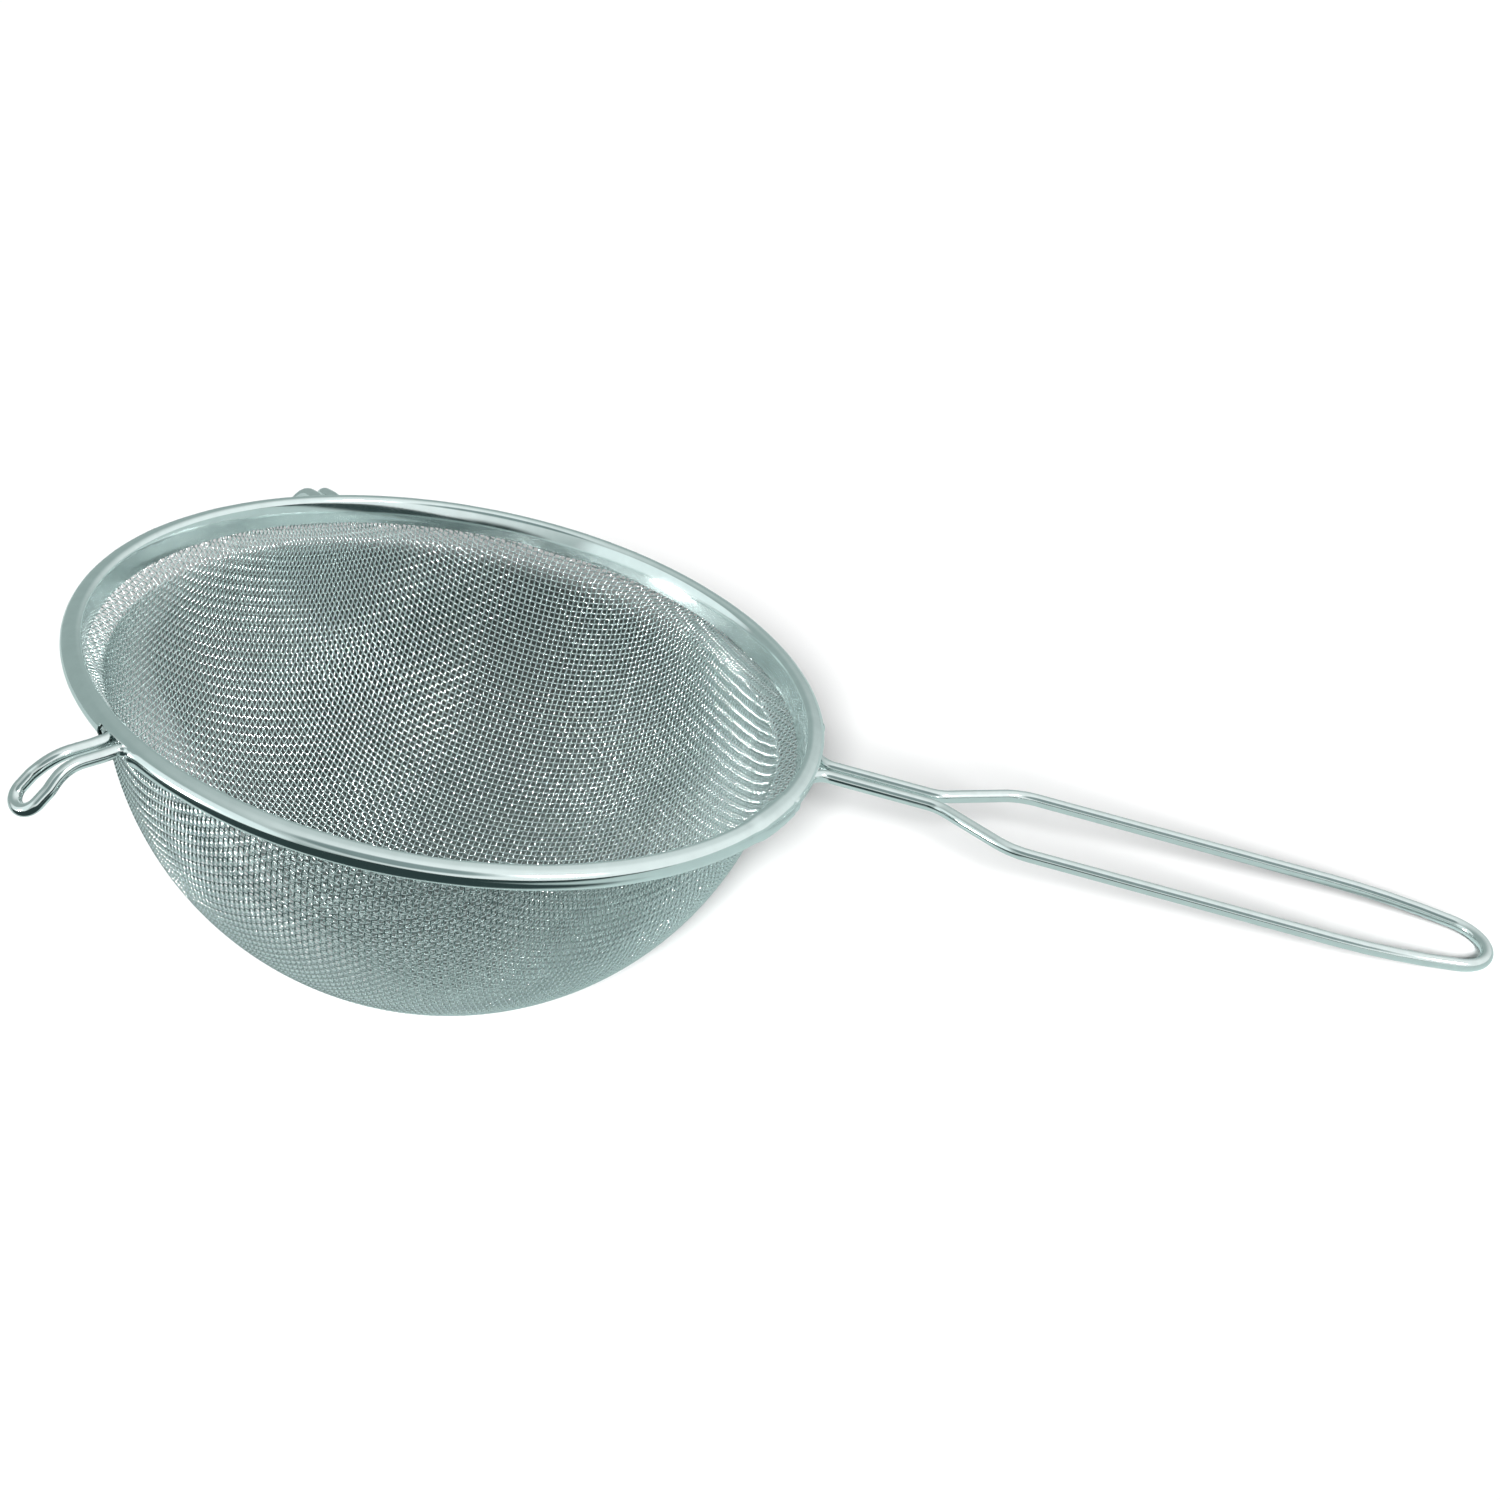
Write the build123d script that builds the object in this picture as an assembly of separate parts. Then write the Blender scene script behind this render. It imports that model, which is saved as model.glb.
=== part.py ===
from build123d import *
import math
import os

os.makedirs("parts", exist_ok=True)

# A round bottomed hand strainer of stainless steel. It is drawn level first: the rim plane is
# z = 0, the bowl hangs below it and the handle runs along +X. At the end it is laid down as it
# rests on a table, on the bowl's bottom and the handle's end, with z = 0 on the table.
# All sizes are in millimetres and degrees.

# Wire and sheet stock
wire_diameter = 3.0
sheet = 0.4
seat_gap = 0.05
butt_gap = 0.2
overrun = 10.0

# Rolled band round the rim
rim_radius = 90.0
roll_radius = 2.75
shoulder_radius = 1.7
shoulder_inset = 0.6
shoulder_rise = 1.2
skirt_length = 5.2
skirt_lean = 8.0

# Lap where the two ends of the band meet, beside the neck
lap_end_angle = -14.5
lap_length = 12.0

# Bowl of woven cloth. The weave is far finer than this net, which has the drape of the real cloth,
# its thickness of two wires, and ribs as wide as gives it the real cloth's weight.
bowl_depth = 81.9
ball_radius = 80.5
ledge_angle = 66.0
cloth_thickness = 0.8
net_pitch = 12.6
net_rib = 1.6
net_hem = 2.0
net_least_gap = 12.0
cloth_angle = -3.0

# Handle, one hairpin of wire
handle_length = 161.0
handle_width = 30.0
neck_width = 7.7
neck_length = 28.5
neck_splay = 31.0
neck_bend_radius = 6.0
exit_bend_radius = 5.0
loop_end_radius = 9.8
loop_taper_length = 27.8
handle_foot_angle = 30.0
neck_notch_angle = 12.5

# Two rests that hang the strainer on a pot, hairpins of the same wire
hook_angle = 127.7
hook_foot_angle = 8.5
hook_leg_half = 2.3
hook_exit_lead = 3.0
hook_root_reach = 5.3
hook_root_drop = 0.8
hook_bend_reach = 13.9
hook_bend_drop = 1.5
hook_eye_reach = 18.0
hook_eye_half = 3.6
hook_reach = 22.8
hook_drop = 10.6
hook_exit_radius = 2.4
hook_soft_radius = 6.0
hook_notch_angle = 4.0

wire_radius = wire_diameter / 2
hoop_radius = rim_radius - sheet - seat_gap - wire_radius
roll_centre = (rim_radius - roll_radius, 0)
shoulder_centre = (roll_centre[0] - shoulder_inset, shoulder_rise)


def on_circle(centre, radius, angle):
    """Point of a circle at an angle in degrees."""
    turn = math.radians(angle)
    return (centre[0] + radius * math.cos(turn), centre[1] + radius * math.sin(turn))


def turned(shape, angle):
    """The shape turned about the bowl's axis."""
    return Rot(Z=angle) * shape


# Folded strip. Its section is a roll that goes round the wire, a flat crown and an inner skirt
# that runs down along the cloth. Every side of the sheet is the outer one moved in by an inset.
crown_span = math.hypot(shoulder_inset, shoulder_rise)
crown_rise = math.degrees(math.atan2(shoulder_rise, shoulder_inset))
crown_angle = math.degrees(math.acos((shoulder_radius - roll_radius) / crown_span)) - crown_rise
skirt_angle = 180 - skirt_lean
skirt_in = math.sin(math.radians(skirt_lean))
skirt_down = math.cos(math.radians(skirt_lean))

# The cloth's hem hangs behind the skirt. The lip of the roll stops just short of it, also at the
# lap, where the roll is one sheet thicker.
cloth_inner = sheet + seat_gap
cloth_outer = cloth_inner + cloth_thickness
roll_to_cloth = shoulder_inset * skirt_down + shoulder_rise * skirt_in + shoulder_radius - cloth_outer
lip_half_angle = math.degrees(math.acos((roll_to_cloth - seat_gap) / (roll_radius + sheet)))
lip_angle = skirt_angle + lip_half_angle


def skirt_point(inset, length):
    """Point on a line that runs down beside the skirt, a given inset behind its face."""
    start = on_circle(shoulder_centre, shoulder_radius - inset, skirt_angle)
    return (start[0] - length * skirt_in, start[1] - length * skirt_down)


def strip_side(inset):
    """One side of the strip, from the lip under the roll to the foot of the skirt."""
    roll = roll_radius - inset
    shoulder = shoulder_radius - inset
    sweep = 360 + crown_angle - lip_angle
    return [
        CenterArc(roll_centre, roll, lip_angle, sweep),
        Line(on_circle(roll_centre, roll, crown_angle), on_circle(shoulder_centre, shoulder, crown_angle)),
        CenterArc(shoulder_centre, shoulder, crown_angle, skirt_angle - crown_angle),
        Line(skirt_point(inset, 0), skirt_point(inset, skirt_length)),
    ]


def strip_section(inset, thickness):
    """Face of the sheet in the plane of the bowl's axis."""
    lip_closer = Line(on_circle(roll_centre, roll_radius - inset, lip_angle),
                      on_circle(roll_centre, roll_radius - inset - thickness, lip_angle))
    foot_closer = Line(skirt_point(inset, skirt_length), skirt_point(inset + thickness, skirt_length))
    edges = strip_side(inset) + strip_side(inset + thickness) + [lip_closer, foot_closer]
    return Plane.XZ * make_face(edges)


def notch(angle, half_angle):
    """Cutter that opens the outside and underside of the roll where a wire leaves it."""
    low = roll_centre[1] - roll_radius - overrun
    high = wire_radius + seat_gap
    inner = hoop_radius - wire_radius - seat_gap
    outer = rim_radius + overrun
    profile = Plane.XZ * (Pos((inner + outer) / 2, (low + high) / 2) * Rectangle(outer - inner, high - low))
    return turned(revolve(profile, Axis.Z, 2 * half_angle), angle - half_angle)


# At the lap one end of the strip lies over the other, so the sheet is twice as thick there
lap_angle = math.degrees(lap_length / rim_radius)
single = revolve(strip_section(0, sheet), Axis.Z, 360 - lap_angle)
double = revolve(strip_section(-sheet, 2 * sheet), Axis.Z, lap_angle)
rim_band = turned(single, lap_end_angle) + turned(double, lap_end_angle - lap_angle)
rim_band -= notch(0, neck_notch_angle)
for side in (-1, 1):
    rim_band -= notch(side * hook_angle, hook_notch_angle)


# Under the skirt's foot the cloth turns in to a short ledge, and from there on it is a ball
ball_height = ball_radius - bowl_depth
ball_centre = (0, ball_height)
ledge_in = math.sin(math.radians(ledge_angle))
ledge_down = math.cos(math.radians(ledge_angle))
ledge_corner_share = math.tan(math.radians(ledge_angle - skirt_lean) / 2)


def ledge_start(inset):
    """Corner between the hem and the ledge on one side of the cloth."""
    return skirt_point(inset, skirt_length + inset * ledge_corner_share)


def ledge_end(inset, radius):
    """Point where the ledge meets the ball on one side of the cloth."""
    across, up = ledge_start(inset)
    reach = across * ledge_in + (up - ball_height) * ledge_down
    away = math.hypot(across, up - ball_height)
    length = reach - math.sqrt(reach ** 2 + radius ** 2 - away ** 2)
    return (across - length * ledge_in, up - length * ledge_down)


def cloth_side(inset, radius):
    """One side of the cloth, from the hem inside the band to the bottom of the bowl."""
    meeting = ledge_end(inset, radius)
    fall = math.degrees(math.atan2(ball_height - meeting[1], meeting[0]))
    return [
        Line(skirt_point(inset, 0), ledge_start(inset)),
        Line(ledge_start(inset), meeting),
        CenterArc(ball_centre, radius, -90, 90 - fall),
    ]


def cloth_section():
    """Half section of the bowl's cloth."""
    hem_closer = Line(skirt_point(cloth_inner, 0), skirt_point(cloth_outer, 0))
    foot_closer = Line((0, ball_height - ball_radius + cloth_thickness), (0, ball_height - ball_radius))
    edges = cloth_side(cloth_inner, ball_radius - cloth_thickness) + cloth_side(cloth_outer, ball_radius)
    return Plane.XZ * make_face(edges + [hem_closer, foot_closer])


# The net is draped as cloth is: every side of every gap has the same length on the ball, so the
# gaps are square at the bottom and along two lines, and sheared to diamonds between these lines.
net_step = 2 * math.asin(net_pitch / 2 / ball_radius)
net_count = math.ceil(math.pi / 2 / net_step)
gap_share = 1 - net_rib / net_pitch
net_top = ledge_end(cloth_outer, ball_radius)[1] - net_hem


def drape():
    """Directions of the net's crossings from the ball's centre, over a quarter of the bowl."""
    rows = []
    for row in range(net_count + 1):
        rows.append([Vector(math.sin(row * net_step), 0, -math.cos(row * net_step))])
    for column in range(1, net_count + 1):
        rows[0].append(Vector(0, math.sin(column * net_step), -math.cos(column * net_step)))
    for row in range(net_count):
        for column in range(net_count):
            start = rows[row][column]
            across = rows[row + 1][column].cross(rows[row][column + 1]).normalized()
            rows[row + 1].append(start - across * (2 * start.dot(across)))
    return rows


def below_hem(corners):
    """The corners of a gap on the ball, cut off where the hem begins."""
    kept = []
    for this, following in zip(corners, corners[1:] + corners[:1]):
        this_under = this.Z + ball_height < net_top
        if this_under:
            kept.append(this)
        if this_under != (following.Z + ball_height < net_top):
            share = (net_top - ball_height - this.Z) / (following.Z - this.Z)
            kept.append(this + (following - this) * share)
    return kept


def polygon_area(corners):
    """Area of a nearly flat polygon."""
    total = Vector(0, 0, 0)
    for step in range(1, len(corners) - 1):
        total += (corners[step] - corners[0]).cross(corners[step + 1] - corners[0])
    return total.length / 2


def gap_cutter(corners):
    """Wedge through the cloth with its sides square to it, from the corners on the ball."""
    inner = [corner * (1 - overrun / ball_radius) for corner in corners]
    outer = [corner * (1 + overrun / ball_radius) for corner in corners]
    faces = []
    for step in range(len(corners)):
        after = (step + 1) % len(corners)
        side = Polyline(inner[step], inner[after], outer[after], outer[step], close=True)
        faces.append(make_face(side))
    for level in (inner, outer):
        for step in range(1, len(corners) - 1):
            faces.append(make_face(Polyline(level[0], level[step], level[step + 1], close=True)))
    return Solid(Shell([piece for face in faces for piece in face.faces()]))


def net_cutters():
    """A wedge for each gap of the net, over the whole bowl."""
    crossings = drape()
    cutters = []
    for row in range(net_count):
        for column in range(net_count):
            corners = [
                crossings[row][column],
                crossings[row + 1][column],
                crossings[row + 1][column + 1],
                crossings[row][column + 1],
            ]
            middle = (corners[0] + corners[1] + corners[2] + corners[3]) / len(corners)
            opened = [(middle + (corner - middle) * gap_share) * ball_radius for corner in corners]
            opened = below_hem(opened)
            if len(opened) < 3 or polygon_area(opened) < net_least_gap:
                continue
            for side_x, side_y in ((1, 1), (-1, 1), (-1, -1), (1, -1)):
                cutters.append(gap_cutter([Vector(v.X * side_x, v.Y * side_y, v.Z) for v in opened]))
    return cutters


cutters = net_cutters()
print("gaps in the net", len(cutters))
mesh_bowl = revolve(cloth_section(), Axis.Z, 360)
mesh_bowl -= [Pos(0, 0, ball_height) * turned(cutter, cloth_angle) for cutter in cutters]


# Wire. Every length of it is a round section swept along straights and arcs.
def bent_wire(edges):
    """Round wire along a line of touching edges."""
    path = Wire(edges)
    section = Plane(path @ 0, z_dir=path % 0) * Circle(wire_radius)
    return sweep(section, path)


# Handle: two feet inside the roll, a narrow neck, a splayed shoulder and a long round loop.
neck_half = (neck_width - wire_diameter) / 2
loop_half = (handle_width - wire_diameter) / 2
handle_end = rim_radius + handle_length - wire_radius
exit_angle = math.degrees(math.asin((neck_half + exit_bend_radius) / (hoop_radius + exit_bend_radius)))
exit_centre = on_circle((0, 0), hoop_radius + exit_bend_radius, exit_angle)
neck_end = rim_radius + neck_length
loop_start = neck_end + (loop_half - neck_half) / math.tan(math.radians(neck_splay))
end_centre = (handle_end - loop_end_radius, 0)
taper_start = end_centre[0] - loop_taper_length
taper_spread = loop_half - loop_end_radius
taper_radius = (loop_taper_length ** 2 / taper_spread + loop_half + loop_end_radius) / 2
taper_centre = (taper_start, loop_half - taper_radius)
taper_angle = math.degrees(math.atan2(-taper_centre[1], loop_taper_length))


def handle_side():
    """Half of the handle's centre line, on the +Y side, from its foot to the start of the end bend."""
    foot = CenterArc((0, 0), hoop_radius, handle_foot_angle, exit_angle - handle_foot_angle)
    leave = CenterArc(exit_centre, exit_bend_radius, exit_angle + 180, 90 - exit_angle)
    side = FilletPolyline(
        (exit_centre[0], neck_half),
        (neck_end, neck_half),
        (loop_start, loop_half),
        (taper_start, loop_half),
        radius=neck_bend_radius,
    )
    taper = CenterArc(taper_centre, taper_radius, 90, taper_angle - 90)
    return [foot, leave, *side.edges(), taper]


half_edges = handle_side()
end_bend = CenterArc(end_centre, loop_end_radius, taper_angle, -2 * taper_angle)
other_half = [edge.mirror(Plane.XZ) for edge in half_edges]
handle_wire = bent_wire([*half_edges, end_bend, *other_half])


# Pot rests: a hairpin whose feet lie in the roll, with two legs side by side that run out nearly
# level, bend down and open to an eye. Its corners are given out from the hoop, along it and down.
hook_foot_end = math.degrees(math.asin((hook_leg_half + hook_exit_lead) / hoop_radius))
hook_eye_share = (hook_eye_reach - hook_bend_reach) / (hook_reach - hook_bend_reach)
hook_eye_drop = hook_bend_drop + hook_eye_share * (hook_drop - hook_bend_drop)


def hook_wire(angle):
    """One rest at an angle round the rim."""
    foot_point = on_circle((0, 0), hoop_radius, hook_foot_end)
    corner_point = on_circle(foot_point, hook_exit_lead, hook_foot_end - 90)
    leg = [
        (*foot_point, 0),
        (*corner_point, 0),
        (hoop_radius + hook_root_reach, hook_leg_half, -hook_root_drop),
        (hoop_radius + hook_bend_reach, hook_leg_half, -hook_bend_drop),
        (hoop_radius + hook_eye_reach, hook_eye_half, -hook_eye_drop),
        (hoop_radius + hook_reach, hook_eye_half, -hook_drop),
    ]
    back = [(out, -along, up) for out, along, up in reversed(leg)]
    tip_radius = hook_eye_half - seat_gap
    leg_radii = [hook_exit_radius, hook_soft_radius, hook_soft_radius, hook_soft_radius, tip_radius]
    hairpin = FilletPolyline(*leg, *back, radius=leg_radii + leg_radii[::-1])
    foot = CenterArc((0, 0), hoop_radius, hook_foot_angle, hook_foot_end - hook_foot_angle)
    return turned(bent_wire([foot, *hairpin.edges(), foot.mirror(Plane.XZ)]), angle)


rest_hook_left = hook_wire(hook_angle)
rest_hook_right = hook_wire(-hook_angle)


# Hoop: three lengths of wire that fill the roll between the feet
def hoop_wire(start, end):
    """Length of the hoop between two angles."""
    return bent_wire([CenterArc((0, 0), hoop_radius, start, end - start)])


butt_angle = math.degrees(butt_gap / hoop_radius)
side_start = handle_foot_angle + butt_angle
side_end = hook_angle - hook_foot_angle - butt_angle
rear_start = hook_angle + hook_foot_angle + butt_angle
hoop_wire_left = hoop_wire(side_start, side_end)
hoop_wire_right = hoop_wire(-side_end, -side_start)
hoop_wire_rear = hoop_wire(rear_start, 360 - rear_start)

# Rest: the ball of the bowl and the end of the handle both touch the table
end_distance = math.hypot(handle_end, ball_height)
rest_tilt = math.asin((ball_radius - wire_radius) / end_distance) - math.atan2(ball_height, handle_end)
at_rest = Pos(0, 0, ball_radius) * Rot(Y=math.degrees(rest_tilt)) * Pos(0, 0, -ball_height)
print("rest tilt", round(math.degrees(rest_tilt), 3), "ball radius", round(ball_radius, 3))

pieces = {
    "mesh_bowl": mesh_bowl,
    "rim_band": rim_band,
    "handle_wire": handle_wire,
    "rest_hook_left": rest_hook_left,
    "rest_hook_right": rest_hook_right,
    "hoop_wire_left": hoop_wire_left,
    "hoop_wire_right": hoop_wire_right,
    "hoop_wire_rear": hoop_wire_rear,
}
for name, piece in pieces.items():
    placed = at_rest * piece
    export_step(placed, f"parts/{name}.step")
    print(name, round(placed.volume, 1))
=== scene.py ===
import math

import bpy
from mathutils import Matrix, Vector, geometry, noise


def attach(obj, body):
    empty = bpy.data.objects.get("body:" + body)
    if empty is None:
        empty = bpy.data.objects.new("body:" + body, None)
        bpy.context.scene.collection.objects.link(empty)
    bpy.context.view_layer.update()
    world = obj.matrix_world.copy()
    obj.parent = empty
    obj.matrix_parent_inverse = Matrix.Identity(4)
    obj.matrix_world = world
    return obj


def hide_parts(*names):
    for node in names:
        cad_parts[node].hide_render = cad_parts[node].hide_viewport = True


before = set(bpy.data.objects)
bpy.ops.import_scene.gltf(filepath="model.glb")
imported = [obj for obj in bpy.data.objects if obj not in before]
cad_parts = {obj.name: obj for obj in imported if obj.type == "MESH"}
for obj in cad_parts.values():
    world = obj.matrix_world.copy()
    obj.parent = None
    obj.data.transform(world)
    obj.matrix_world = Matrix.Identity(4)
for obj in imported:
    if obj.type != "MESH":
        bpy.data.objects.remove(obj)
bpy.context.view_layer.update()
bpy.ops.object.select_all(action="DESELECT")

# Camera. It looks down on the table from the front, a little to the right of the bowl, and is
# turned clockwise, so the handle runs down to the right. One unit is a metre, and the camera's
# angles are in degrees.
camera_place = (0.18419, -0.49339, 0.30644)
camera_azimuth = -76.890
camera_elevation = 26.079
camera_roll = -7.311
camera_lens = 57.6
camera_sensor = 36.0
camera_clip = 0.01

bpy.ops.object.camera_add(location=camera_place)
camera = bpy.context.object
camera.name = "studio_camera"
level = Matrix.Rotation(math.radians(90 + camera_azimuth), 4, "Z")
raised = Matrix.Rotation(math.radians(90 - camera_elevation), 4, "X")
rolled = Matrix.Rotation(math.radians(camera_roll), 4, "Z")
camera.matrix_world = Matrix.Translation(camera_place) @ level @ raised @ rolled
camera.data.sensor_width = camera_sensor
camera.data.lens = camera_lens
camera.data.clip_start = camera_clip
bpy.context.scene.camera = camera

# Resting place. The strainer is made level, with its rim's plane at zero and its handle along +X,
# and is then laid down as it rests on a table: on the ball of its bowl and the end of its handle.
wire_radius = 0.0015
bowl_radius = 0.0805
bowl_centre_height = -0.0014
handle_end = 0.2495
rest_tilt = math.asin((bowl_radius - wire_radius) / math.hypot(handle_end, bowl_centre_height))
rest_tilt -= math.atan2(bowl_centre_height, handle_end)
at_rest = Matrix.Translation((0, 0, bowl_radius)) @ Matrix.Rotation(rest_tilt, 4, "Y")
at_rest = at_rest @ Matrix.Translation((0, 0, -bowl_centre_height))


def pick(piece):
    """Makes a piece the only selected one and the active one."""
    bpy.ops.object.select_all(action="DESELECT")
    piece.select_set(True)
    bpy.context.view_layer.objects.active = piece


def lay_down(piece):
    """Turns a level piece into its resting place and keeps the place in its mesh."""
    pick(piece)
    piece.matrix_world = at_rest @ piece.matrix_world
    bpy.ops.object.transform_apply(location=True, rotation=True, scale=True)
    piece.select_set(False)


# Handle. One hairpin of electropolished wire: its feet lie in the rolled rim, the neck is two
# wires side by side, and the loop narrows a little towards its round end.
rim_radius = 0.090
sheet = 0.0004
seat_gap = 0.00005
hoop_radius = rim_radius - sheet - seat_gap - wire_radius
foot_angle = math.radians(30)
exit_angle = math.radians(4.53)
foot_end_share = 1.02
neck_half = 0.00235
neck_end = rim_radius + 0.0285
loop_half = 0.0135
loop_start = 0.13706
loop_taper = 0.2274
loop_apex = 0.2771
exit_bend = 0.005
neck_bend = 0.009
loop_bend = 0.016
taper_bend = 0.115
end_bend = 0.0098
bend_step = math.radians(4)
straight_half = math.radians(89.9)
foot_steps = 12
wire_smoothness = 8
wire_edge_angle = math.radians(50)


def steel(name, colour, roughness, spread, grain, depth):
    """Stainless steel whose roughness varies with fine stains, with a shallow uneven surface."""
    stained_share = 0.86
    bump_strength = 0.3
    stain_detail = 4.0
    material = bpy.data.materials.new(name)
    material.use_nodes = True
    nodes, links = material.node_tree.nodes, material.node_tree.links
    shader = nodes["Principled BSDF"]
    shader.inputs["Metallic"].default_value = 1.0
    place = nodes.new("ShaderNodeTexCoord")
    stain = nodes.new("ShaderNodeTexNoise")
    stain.inputs["Scale"].default_value = grain
    stain.inputs["Detail"].default_value = stain_detail
    tone = nodes.new("ShaderNodeMapRange")
    tone.inputs["To Min"].default_value = roughness - spread
    tone.inputs["To Max"].default_value = roughness + spread
    tint = nodes.new("ShaderNodeMix")
    tint.data_type = "RGBA"
    tint.inputs["A"].default_value = (*[stained_share * part for part in colour], 1)
    tint.inputs["B"].default_value = (*colour, 1)
    bump = nodes.new("ShaderNodeBump")
    bump.inputs["Strength"].default_value = bump_strength
    bump.inputs["Distance"].default_value = depth
    links.new(place.outputs["Object"], stain.inputs["Vector"])
    links.new(stain.outputs["Fac"], tone.inputs["Value"])
    links.new(tone.outputs["Result"], shader.inputs["Roughness"])
    links.new(stain.outputs["Fac"], tint.inputs["Factor"])
    links.new(tint.outputs["Result"], shader.inputs["Base Color"])
    links.new(stain.outputs["Fac"], bump.inputs["Height"])
    links.new(bump.outputs["Normal"], shader.inputs["Normal"])
    return material


wire_steel = steel(
    "polished_steel_wire", colour=(0.84, 0.90, 0.89), roughness=0.10, spread=0.03, grain=400.0, depth=0.000002
)


def bent_line(corners):
    """Points along straight lines with round bends. A corner is a place and a bend radius."""
    points = [corners[0][0]]
    for (before, _), (place, radius), (after, _) in zip(corners, corners[1:], corners[2:]):
        back, ahead = (before - place).normalized(), (after - place).normalized()
        half = back.angle(ahead) / 2
        if radius == 0 or half > straight_half:
            points.append(place)
            continue
        centre = place + (back + ahead).normalized() * radius / math.sin(half)
        start = place + back * radius / math.tan(half) - centre
        stop = place + ahead * radius / math.tan(half) - centre
        steps = max(2, math.ceil(start.angle(stop) / bend_step))
        ways = [start.slerp(stop, step / steps).normalized() for step in range(steps + 1)]
        points += [centre + way * radius for way in ways]
    return points + [corners[-1][0]]


def tubes(name, lines, radius, smoothness):
    """Tubes along lines of points, as one mesh without a material."""
    curve = bpy.data.curves.new(name, "CURVE")
    curve.dimensions = "3D"
    curve.bevel_depth = radius
    curve.bevel_resolution = smoothness
    curve.use_fill_caps = True
    for line in lines:
        spline = curve.splines.new("POLY")
        spline.points.add(len(line) - 1)
        spline.points.foreach_set("co", [part for point in line for part in (*point, 1)])
    piece = bpy.data.objects.new(name, curve)
    bpy.context.scene.collection.objects.link(piece)
    pick(piece)
    bpy.ops.object.convert(target="MESH")
    piece.data.materials.clear()
    return piece


def wire_piece(name, points, node):
    """Round wire along a line of points, in the place of a solid."""
    piece = tubes(name, [points], wire_radius, wire_smoothness)
    bpy.ops.object.shade_smooth_by_angle(angle=wire_edge_angle)
    piece.data.materials.append(wire_steel)
    lay_down(piece)
    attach(piece, "root")
    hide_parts(node)


def hoop_foot(start, end):
    """Corners along the hoop from one angle to another."""
    angles = [start + (end - start) * step / foot_steps for step in range(foot_steps + 1)]
    return [(Vector((hoop_radius * math.cos(a), hoop_radius * math.sin(a), 0)), 0) for a in angles]


def hairpin(foot, side, end):
    """Corners of a wire that goes out on one side and comes back as its mirror image."""
    way_out = foot + [(Vector(place), radius) for place, radius in side]
    way_back = [(Vector((place.x, -place.y, place.z)), radius) for place, radius in reversed(way_out)]
    return way_out + [(Vector(place), radius) for place, radius in end] + way_back


exit_corner = hoop_radius * math.cos(exit_angle)
exit_corner += (hoop_radius * math.sin(exit_angle) - neck_half) * math.tan(exit_angle)
handle_foot = hoop_foot(foot_angle, exit_angle * foot_end_share)
handle_side = [
    ((exit_corner, neck_half, 0), exit_bend),
    ((neck_end, neck_half, 0), neck_bend),
    ((loop_start, loop_half, 0), loop_bend),
    ((loop_taper, loop_half, 0), taper_bend),
]
handle_tip = [((loop_apex, 0, 0), end_bend)]
wire_piece("handle", bent_line(hairpin(handle_foot, handle_side, handle_tip)), "handle_wire")

# Pot rests. Two small hairpins of the same wire with an eye at the tip, which hang the strainer
# on a pot. The rear one is bent down a little from use.
rest_angle = math.radians(127.7)
rest_foot_angle = math.radians(8.5)
rest_half = 0.0023
rest_exit_lead = 0.0030
rest_eye_half = 0.0036
rest_foot_end = math.asin((rest_half + rest_exit_lead) / hoop_radius)
rest_root = Vector((hoop_radius + 0.0053, rest_half, -0.0008))
rest_knee = Vector((hoop_radius + 0.0139, rest_half, -0.0015))
rest_eye = Vector((hoop_radius + 0.0180, rest_eye_half, -0.00569))
rest_tip = Vector((hoop_radius + 0.0228, rest_eye_half, -0.0106))
rest_exit_bend = 0.0024
rest_soft_bend = 0.006
rest_knee_bend = 0.0105
rest_eye_bend = rest_eye_half - seat_gap
rear_sag = math.radians(10.5)


def pot_rest(name, angle, sag, node):
    """One rest at an angle round the rim, bent down beyond its root by the sag."""
    droop = Matrix.Rotation(sag, 3, "Y")
    knee, eye, tip = [rest_root + droop @ (place - rest_root) for place in (rest_knee, rest_eye, rest_tip)]
    side = [
        ((hoop_radius, rest_half, 0), rest_exit_bend),
        (rest_root, rest_soft_bend),
        (knee, rest_knee_bend),
        (eye, rest_soft_bend),
        (tip, rest_eye_bend),
    ]
    corners = hairpin(hoop_foot(rest_foot_angle, rest_foot_end), side, [])
    turn = Matrix.Rotation(angle, 3, "Z")
    wire_piece(name, [turn @ point for point in bent_line(corners)], node)


pot_rest("pot_rest_rear", rest_angle, rear_sag, "rest_hook_left")
pot_rest("pot_rest_front", -rest_angle, 0.0, "rest_hook_right")

# Hoop wire inside the rolled rim. Only a little of it shows where the other wires leave the rim,
# so the solids themselves are used, in the same steel.
for name in ("hoop_wire_left", "hoop_wire_right", "hoop_wire_rear"):
    node = bpy.data.objects[name]
    if node.material_slots:
        node.material_slots[0].material = wire_steel
    else:
        node.data.materials.append(wire_steel)

# Rim band. One strip of stainless sheet, rolled round the hoop wire by hand tools, so that it is
# a little uneven. It is cut open where wires leave it, and its ends lap beside the neck.
roll_radius = 0.00275
roll_middle = rim_radius - roll_radius
roll_centre = Vector((roll_middle, 0))
shoulder_radius = 0.0017
shoulder_centre = Vector((roll_middle - 0.0006, 0.0012))
crown_angle = math.radians(78.1)
lip_angle = math.radians(240.4)
skirt_top_angle = math.radians(158)
skirt_foot_angle = math.radians(174)
skirt_length = 0.0055
roll_steps = 36
shoulder_steps = 12
skirt_steps = 10
ring_count = 720
band_steel = steel(
    "rolled_steel_strip", colour=(0.84, 0.92, 0.91), roughness=0.10, spread=0.03, grain=260.0, depth=0.000002
)

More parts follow.
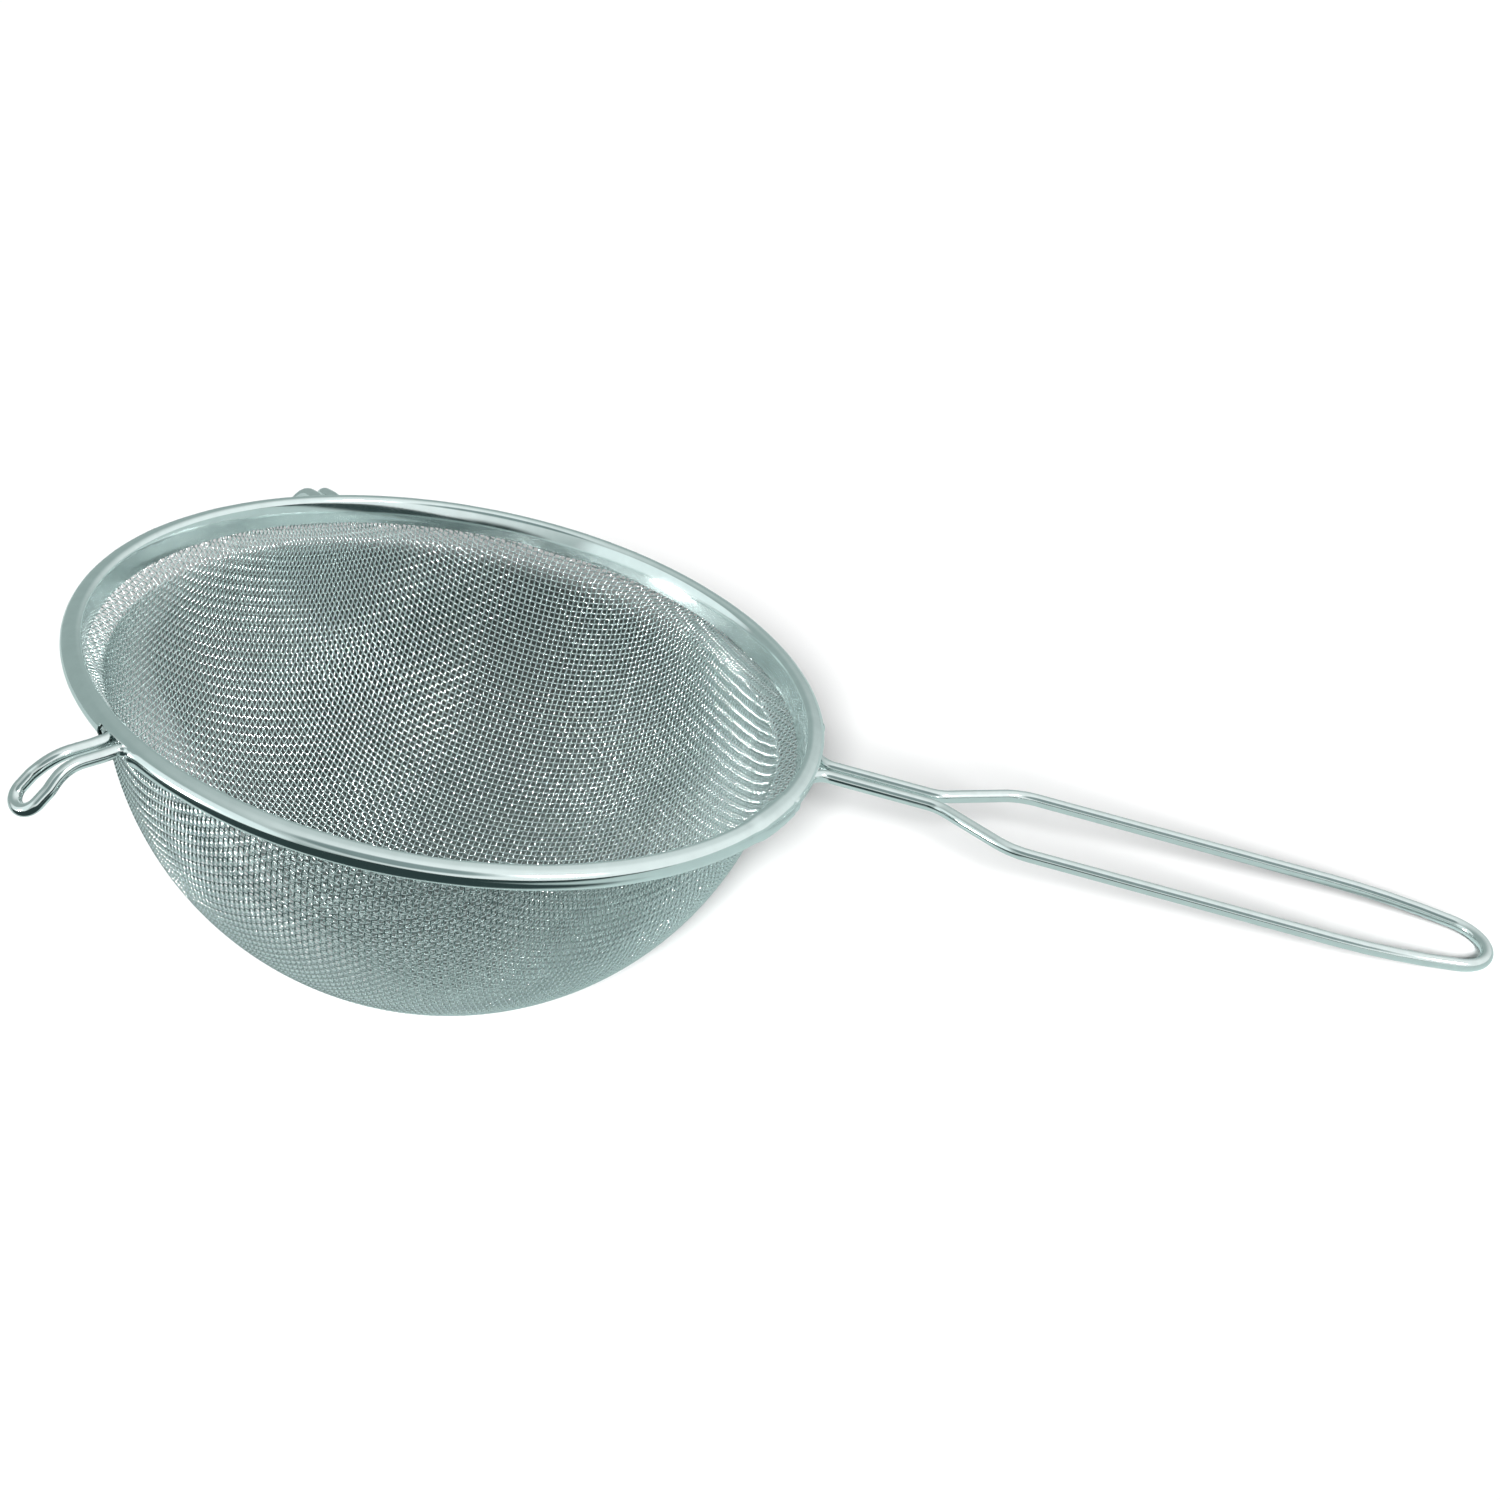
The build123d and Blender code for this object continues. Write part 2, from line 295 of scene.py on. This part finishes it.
lap_start = math.radians(-22.14)
lap_end = math.radians(345.5)
lap_climb_start = math.radians(334.5)
lap_climb_angle = math.radians(3)
lap_gap = 0.00003

neck_notch_angle = math.radians(12.5)
rest_notch_angle = math.radians(4)
notches = [(0.0, neck_notch_angle), (rest_angle, rest_notch_angle), (-rest_angle, rest_notch_angle)]
notch_top = wire_radius + 0.0001
notch_slack = 0.001
curl_angle = math.radians(1.4)
curl_rise = 0.00025
curl_top = 0.0016
curl_inner = 0.0865
curl_inner_share = 0.6

slow_wave = 2.2
slow_depth = 0.00012
quick_wave = 9.0
quick_depth = 0.00005
quick_offset = Vector((0, 0, 5))
ripple_count = 40
ripple_share = 0.5
weld_distance = 0.000002
band_edge_angle = math.radians(40)


def out_of(angle):
    """Unit direction of an angle in the band's section."""
    return Vector((math.cos(angle), math.sin(angle)))


def band_profile():
    """Places and outward directions from the lip of the roll to the foot of the skirt."""
    profile = []
    for centre, radius, start, stop, steps in (
        (roll_centre, roll_radius, lip_angle, 2 * math.pi + crown_angle, roll_steps),
        (shoulder_centre, shoulder_radius, crown_angle, skirt_top_angle, shoulder_steps),
    ):
        for step in range(steps + 1):
            out = out_of(start + (stop - start) * step / steps)
            profile.append((centre + out * radius, out))
    for step in range(1, skirt_steps + 1):
        out = out_of(skirt_top_angle + (skirt_foot_angle - skirt_top_angle) * step / skirt_steps)
        profile.append((profile[-1][0] + Vector((-out.y, out.x)) * skirt_length / skirt_steps, out))
    return profile


def notch_distance(angle):
    """Angle to the nearest notch's edge, below zero inside the notch."""
    gaps = []
    for middle, half in notches:
        away = abs((angle - middle + math.pi) % (2 * math.pi) - math.pi)
        gaps.append(away - half)
    return min(gaps)


def ring_angles():
    """Angles of the band's rings, one of them on each edge of a notch."""
    angles = [lap_start + (lap_end - lap_start) * step / ring_count for step in range(ring_count + 1)]
    for middle, half in notches:
        for edge in (middle - half, middle + half):
            edge = lap_start + (edge - lap_start) % (2 * math.pi)
            nearest = min(range(ring_count + 1), key=lambda step: abs(angles[step] - edge))
            angles[nearest] = edge
    return angles


def stand_off(angle, around):
    """How far the sheet stands off its true form, by hand work and by the lap's climb."""
    slow = noise.noise(around * slow_wave) * slow_depth
    quick = noise.noise(around * quick_wave + quick_offset) * quick_depth
    over = min(max((angle - lap_climb_start) / lap_climb_angle, 0), 1)
    lift = over * over * (3 - 2 * over) * (sheet + lap_gap)
    return slow + quick * (1 + ripple_share * math.sin(ripple_count * angle)) + lift


def band_mesh():
    """The strip's outer surface, open at the notches."""
    profile = band_profile()
    angles = ring_angles()
    width = len(profile)
    points = []
    for angle in angles:
        around = Vector((math.cos(angle), math.sin(angle), 0))
        even = stand_off(angle, around)
        near = notch_distance(angle)
        curl = max(0.0, 1 - near / curl_angle) ** 2 * curl_rise
        for place, out in profile:
            outer = max(0.0, min(1.0, (place.x - roll_middle) / roll_radius + curl_inner_share))
            curled = place.y < curl_top and place.x > curl_inner and near > -notch_slack
            shift = even + curl * outer if curled else even
            spot = place + out * (shift - slow_depth)
            points.append((spot.x * around.x, spot.x * around.y, spot.y))
    faces = []
    for ring in range(ring_count):
        in_notch = notch_distance((angles[ring] + angles[ring + 1]) / 2) < 0
        for step in range(width - 1):
            height = (profile[step][0].y + profile[step + 1][0].y) / 2
            if in_notch and step < roll_steps and height < notch_top:
                continue
            here, there = ring * width + step, (ring + 1) * width + step
            faces.append((here, there, there + 1, here + 1))
    mesh = bpy.data.meshes.new("rim_strip")
    mesh.from_pydata(points, [], faces)
    return mesh


band = bpy.data.objects.new("rim_strip", band_mesh())
bpy.context.scene.collection.objects.link(band)
pick(band)
bpy.ops.object.mode_set(mode="EDIT")
bpy.ops.mesh.select_all(action="SELECT")
bpy.ops.mesh.delete_loose()
bpy.ops.mesh.select_all(action="SELECT")
bpy.ops.mesh.remove_doubles(threshold=weld_distance)
bpy.ops.object.mode_set(mode="OBJECT")
thick = band.modifiers.new("sheet", "SOLIDIFY")
thick.thickness = sheet
thick.offset = -1
bpy.ops.object.modifier_apply(modifier=thick.name)
bpy.ops.object.shade_smooth_by_angle(angle=band_edge_angle)
band.data.materials.append(band_steel)
lay_down(band)
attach(band, "root")
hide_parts("rim_band")

# Wire cloth of the bowl. It is plain-woven stainless wire, about eighteen wires to the inch each
# way, cut to a round and drawn into a ball-shaped bowl. The crossings keep their distance along
# every wire, so the cloth shears to diamonds between the two straight directions. Under the band
# it turns out to a ledge and up behind the skirt.
cloth_pitch = 0.00145
cloth_wire_radius = 0.00022
cloth_wave = 0.0002
cloth_turn = math.radians(-3.0)
cloth_middle = bowl_radius - 2 * cloth_wire_radius
cloth_top_angle = math.radians(96)
steep_share = 0.25
ledge_angle = math.radians(66)
ledge_foot_radius = 0.07990
ledge_foot_height = -0.00656
ledge_length = 0.0055
hem_lean = math.radians(8)
hem_length = 0.0030
crease_angle = math.atan2(ledge_foot_radius, bowl_centre_height - ledge_foot_height)
wires_per_piece = 46
stub_points = 3
cloth_steel = steel(
    "woven_steel_wire", colour=(0.79, 0.87, 0.86), roughness=0.17, spread=0.05, grain=900.0, depth=0.00001
)

crossing_angle = 2 * math.asin(cloth_pitch / 2 / cloth_middle)
reach = math.ceil(cloth_top_angle / crossing_angle)


def drape_quarter():
    """Unit directions of the crossings from the ball's centre, over a quarter of the bowl."""
    rows = []
    for row in range(reach + 1):
        rows.append([Vector((math.sin(row * crossing_angle), 0, -math.cos(row * crossing_angle)))])
    for column in range(1, reach + 1):
        rows[0].append(Vector((0, math.sin(column * crossing_angle), -math.cos(column * crossing_angle))))
    for row in range(reach):
        for column in range(reach):
            start, right, up = rows[row][column], rows[row + 1][column], rows[row][column + 1]
            fold = right.cross(up).normalized() if start and right and up else Vector()
            far = start - 2 * start.dot(fold) * fold if fold.length else None
            if far and (far - right).cross(far - up).dot(start) > 0 and start.z > steep_share:
                far = None
            rows[row + 1].append(far)
    return rows


quarter = drape_quarter()


def crossing(row, column, lift):
    """Place of a crossing, lifted square to the cloth, or None above the cloth's top."""
    way = quarter[abs(row)][abs(column)]
    if way is None:
        return None
    rise = math.atan2(math.hypot(way.x, way.y), -way.z)
    beyond = (rise - crease_angle) * cloth_middle
    climb = beyond - ledge_length
    if beyond <= 0:
        radius = (cloth_middle + lift) * math.sin(rise)
        height = bowl_centre_height - (cloth_middle + lift) * math.cos(rise)
    elif climb < 0:
        radius = ledge_foot_radius + beyond * math.sin(ledge_angle) + lift * math.cos(ledge_angle)
        height = ledge_foot_height + beyond * math.cos(ledge_angle) - lift * math.sin(ledge_angle)
    elif climb < hem_length:
        radius = ledge_foot_radius + ledge_length * math.sin(ledge_angle) + climb * math.sin(hem_lean) + lift
        height = ledge_foot_height + ledge_length * math.cos(ledge_angle) + climb * math.cos(hem_lean)
    else:
        return None
    turn = math.atan2(math.copysign(way.y, column), math.copysign(way.x, row)) + cloth_turn
    return Vector((radius * math.cos(turn), radius * math.sin(turn), height))


def wire_line(number, along_rows):
    """Points of one wire, over and under the wires that it crosses."""
    points = []
    for place in range(-reach, reach + 1):
        row, column = (place, number) if along_rows else (number, place)
        side = 1 if (row + column + along_rows) % 2 else -1
        point = crossing(row, column, side * cloth_wave)
        if point is None:
            continue
        if points:
            points.append((points[-1] + point) / 2)
        points.append(point)
    return points


def cloth_piece(name, lines):
    """Wires of the cloth in one mesh, as four-sided tubes that are shaded as round ones."""
    piece = tubes(name, lines, cloth_wire_radius, smoothness=0)
    bpy.ops.object.shade_smooth()
    piece.data.materials.append(cloth_steel)
    lay_down(piece)
    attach(piece, "root")
    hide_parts("mesh_bowl")


for family, along_rows in (("warp", True), ("weft", False)):
    wires = [wire_line(number, along_rows) for number in range(-reach, reach + 1)]
    wires = [wire for wire in wires if len(wire) > stub_points]
    for first in range(0, len(wires), wires_per_piece):
        cloth_piece(f"cloth_{family}_{first // wires_per_piece + 1}", wires[first:first + wires_per_piece])

# Floor: a plain white table top, which belongs to the studio and keeps the strainer's shadow. It
# is white to the camera. In the steel it shows a painted reflection instead: grey-teal behind and
# beside the strainer, with painted dark shade in front of it, short of the handle and further out.
floor_size = 12
floor_height = -0.0002
floor_roughness = 0.9
floor_seen = (1, 1, 1, 1)
# Painted reflection: the floor in the steel is a darker grey-teal than the white it shows the camera.
floor_painted_reflection = (0.50, 0.60, 0.59, 1)
# Painted shade in the floor's reflection, nearly black in front of the bowl.
front_painted_shade = (0.03, 0.05, 0.05, 1)

bpy.ops.mesh.primitive_plane_add(size=floor_size, location=(0, 0, floor_height))
floor = bpy.context.object
floor.name = "studio_floor"
floor_paint = bpy.data.materials.new("studio_floor_white")
floor_paint.use_nodes = True
nodes, links = floor_paint.node_tree.nodes, floor_paint.node_tree.links
floor_shader = nodes["Principled BSDF"]
floor_shader.inputs["Roughness"].default_value = floor_roughness
floor_shader.inputs["Specular IOR Level"].default_value = 0.0
floor_ray = nodes.new("ShaderNodeLightPath")
floor_place = nodes.new("ShaderNodeTexCoord")
floor_axes = nodes.new("ShaderNodeSeparateXYZ")
links.new(floor_place.outputs["Object"], floor_axes.inputs["Vector"])


def floor_edge(axis, start, stop):
    """Grows from nothing to one between two places on the floor."""
    edge = nodes.new("ShaderNodeMapRange")
    edge.interpolation_type = "SMOOTHSTEP"
    edge.inputs["From Min"].default_value = start
    edge.inputs["From Max"].default_value = stop
    links.new(floor_axes.outputs[axis], edge.inputs["Value"])
    return edge.outputs["Result"]


def floor_join(operation, first, second):
    """Joins two edges by multiplying them or by taking the greater."""
    both = nodes.new("ShaderNodeMath")
    both.operation = operation
    links.new(first, both.inputs[0])
    links.new(second, both.inputs[1])
    return both.outputs["Value"]


def floor_mix(share):
    """Mix of two colours by a share."""
    mix = nodes.new("ShaderNodeMix")
    mix.data_type = "RGBA"
    links.new(share, mix.inputs["Factor"])
    return mix


# Painted shade in the floor's reflection: dark in front of the bowl short of the handle, and further out in
# front.
before_bowl = floor_edge("Y", start=-0.06, stop=-0.10)
short_of_handle = floor_edge("X", start=0.12, stop=0.08)
far_front_painted_shade = floor_edge("Y", start=-0.15, stop=-0.25)
front = floor_join("MAXIMUM", floor_join("MULTIPLY", before_bowl, short_of_handle), far_front_painted_shade)
mirrored = floor_mix(front)
mirrored.inputs["A"].default_value = floor_painted_reflection
mirrored.inputs["B"].default_value = front_painted_shade
shown = floor_mix(floor_ray.outputs["Is Camera Ray"])
shown.inputs["B"].default_value = floor_seen
links.new(mirrored.outputs["Result"], shown.inputs["A"])
links.new(shown.outputs["Result"], floor_shader.inputs["Base Color"])
floor.data.materials.append(floor_paint)

# Card on the floor behind the bowl, no larger than the bowl hides from the camera, and thinned
# out towards its edge. It is neither seen nor mirrored. It only keeps the lamp's light off the
# floor there, so that the gaps of the cloth look dark.
card_height = -0.0001
card_inset = 0.001
card_turns = 72
card_falls = (10, 25, 40, 55, 70, 80)
card_core_share = 0.72
card_weight = 0.94


def cast(point):
    """Spot on the floor that a point of the level strainer hides from the camera."""
    place = at_rest @ point
    share = camera_place[2] / (camera_place[2] - place.z)
    return (Vector(camera_place) + (place - Vector(camera_place)) * share).to_2d()


def card_outline():
    """Corners of the outline that the bowl casts on the floor, from the camera."""
    ball = bowl_radius - card_inset
    spots = []
    for number in range(card_turns):
        turn = math.radians(360 * number / card_turns)
        around = Vector((math.cos(turn), math.sin(turn), 0))
        spots.append(cast(around * (rim_radius - card_inset)))
        for fall in card_falls:
            down = math.radians(fall)
            spot = around * math.cos(down) * ball - Vector((0, 0, math.sin(down) * ball))
            spots.append(cast(spot + Vector((0, 0, bowl_centre_height))))
    return [spots[number] for number in geometry.convex_hull_2d(spots)]


def card_mesh(outline):
    """Card with a full core and an edge that thins out to nothing."""
    count = len(outline)
    middle = sum(outline, Vector((0, 0))) / count
    points = [(*middle, card_height)]
    for share in (card_core_share, 1.0):
        points += [(*(middle + (spot - middle) * share), card_height) for spot in outline]
    faces = []
    for first in range(1, count + 1):
        second = first % count + 1
        faces.append((0, first, second))
        faces.append((first, first + count, second + count, second))
    mesh = bpy.data.meshes.new("studio_card")
    mesh.from_pydata(points, [], faces)
    weight = mesh.attributes.new("weight", "FLOAT", "POINT")
    weight.data.foreach_set("value", [card_weight] * (1 + count) + [0.0] * count)
    return mesh


card_shade = bpy.data.materials.new("studio_card_shade")
card_shade.use_nodes = True
nodes, links = card_shade.node_tree.nodes, card_shade.node_tree.links
density = nodes.new("ShaderNodeAttribute")
density.attribute_name = "weight"
clear = nodes.new("ShaderNodeBsdfTransparent")
partly = nodes.new("ShaderNodeMixShader")
links.new(density.outputs["Fac"], partly.inputs["Fac"])
links.new(clear.outputs["BSDF"], partly.inputs[1])
links.new(nodes["Principled BSDF"].outputs["BSDF"], partly.inputs[2])
links.new(partly.outputs["Shader"], nodes["Material Output"].inputs["Surface"])
card = bpy.data.objects.new("studio_card", card_mesh(card_outline()))
card.data.materials.append(card_shade)
bpy.context.scene.collection.objects.link(card)
card.visible_camera = False
card.visible_glossy = False
card.visible_diffuse = False
card.visible_transmission = False

# Lamps. The main one stands behind the camera and lights the floor. Two others, one to the left
# and one to the right of the camera, make the glints on the steel and leave the floor alone.


def distant_lamp(name, azimuth, elevation, energy, spread):
    """Lamp so far off that its light comes from one direction, given in degrees."""
    bpy.ops.object.light_add(type="SUN")
    lamp = bpy.context.object
    lamp.name = name
    lamp.rotation_euler = (math.radians(90 - elevation), 0, math.radians(azimuth + 90))
    lamp.data.energy = energy
    lamp.data.angle = math.radians(spread)
    return lamp


main_lamp = distant_lamp("studio_lamp", azimuth=-79, elevation=27, energy=7.2, spread=12)
main_lamp.visible_glossy = False
right_lamp = distant_lamp("studio_glint_right", azimuth=-25, elevation=30, energy=2.6, spread=10)
right_lamp.visible_diffuse = False
left_lamp = distant_lamp("studio_glint_left", azimuth=-146, elevation=12, energy=3.2, spread=10)
left_lamp.visible_diffuse = False

# Room. It is white to the camera and dim to the floor. The steel mirrors pale walls at the left
# and right of the camera, grey walls behind the strainer, a darker patch above the camera and a
# dark place low down at the front, beyond the table's end.
dim_colour = (0.7, 1, 0.96, 1)
dim_strength = 0.02
white_colour = (1, 1, 1)
grey_wall = (0.35, 0.43, 0.42)
right_wall = (0.95, 1, 1)
left_wall = (0.9, 1, 1)
no_light = (0, 0, 0)
upper_patch = (0.28, 0.34, 0.34)
front_dark = (0.01, 0.03, 0.03)

world = bpy.data.worlds.new("studio_world")
bpy.context.scene.world = world
world.use_nodes = True
nodes, links = world.node_tree.nodes, world.node_tree.links
dim = nodes["Background"]
dim.inputs["Color"].default_value = dim_colour
dim.inputs["Strength"].default_value = dim_strength
white = nodes.new("ShaderNodeBackground")
white.inputs["Color"].default_value = (*white_colour, 1)
room = nodes.new("ShaderNodeBackground")
ray = nodes.new("ShaderNodeLightPath")
way = nodes.new("ShaderNodeTexCoord")


def way_to(azimuth, elevation):
    """Unit vector towards an azimuth and an elevation in degrees."""
    turn, lift = math.radians(azimuth), math.radians(elevation)
    return (math.cos(turn) * math.cos(lift), math.sin(turn) * math.cos(lift), math.sin(lift))


def room_part(direction, low, high, away, near):
    """Colour that turns from one to another with the nearness of a view to a direction."""
    nearness = nodes.new("ShaderNodeVectorMath")
    nearness.operation = "DOT_PRODUCT"
    nearness.inputs[1].default_value = direction
    links.new(way.outputs["Generated"], nearness.inputs[0])
    turn = nodes.new("ShaderNodeMapRange")
    turn.interpolation_type = "SMOOTHSTEP"
    turn.inputs["From Min"].default_value = low
    turn.inputs["From Max"].default_value = high
    links.new(nearness.outputs["Value"], turn.inputs["Value"])
    part = nodes.new("ShaderNodeMix")
    part.data_type = "RGBA"
    part.inputs["A"].default_value = (*away, 1)
    part.inputs["B"].default_value = (*near, 1)
    links.new(turn.outputs["Result"], part.inputs["Factor"])
    return part.outputs["Result"]


shade = room_part(way_to(-15, 20), low=-0.25, high=0.8, away=grey_wall, near=right_wall)
for blend, part in (
    ("LIGHTEN", room_part(way_to(-143, 20), low=0.74, high=0.90, away=no_light, near=left_wall)),
    ("MULTIPLY", room_part(way_to(-70, 42), low=0.87, high=0.96, away=white_colour, near=upper_patch)),
    ("MULTIPLY", room_part(way_to(-90, -22), low=0.85, high=0.91, away=white_colour, near=front_dark)),
):
    both = nodes.new("ShaderNodeMix")
    both.data_type = "RGBA"
    both.blend_type = blend
    both.inputs["Factor"].default_value = 1.0
    links.new(shade, both.inputs["A"])
    links.new(part, both.inputs["B"])
    shade = both.outputs["Result"]
links.new(shade, room.inputs["Color"])

lit = nodes.new("ShaderNodeMixShader")
links.new(ray.outputs["Is Glossy Ray"], lit.inputs["Fac"])
links.new(dim.outputs["Background"], lit.inputs[1])
links.new(room.outputs["Background"], lit.inputs[2])
direct = nodes.new("ShaderNodeMath")
direct.operation = "MAXIMUM"
links.new(ray.outputs["Is Camera Ray"], direct.inputs[0])
links.new(ray.outputs["Is Transmission Ray"], direct.inputs[1])
backdrop = nodes.new("ShaderNodeMixShader")
links.new(direct.outputs["Value"], backdrop.inputs["Fac"])
links.new(lit.outputs["Shader"], backdrop.inputs[1])
links.new(white.outputs["Background"], backdrop.inputs[2])
links.new(backdrop.outputs["Shader"], nodes["World Output"].inputs["Surface"])

bpy.context.scene.view_settings.view_transform = "Standard"
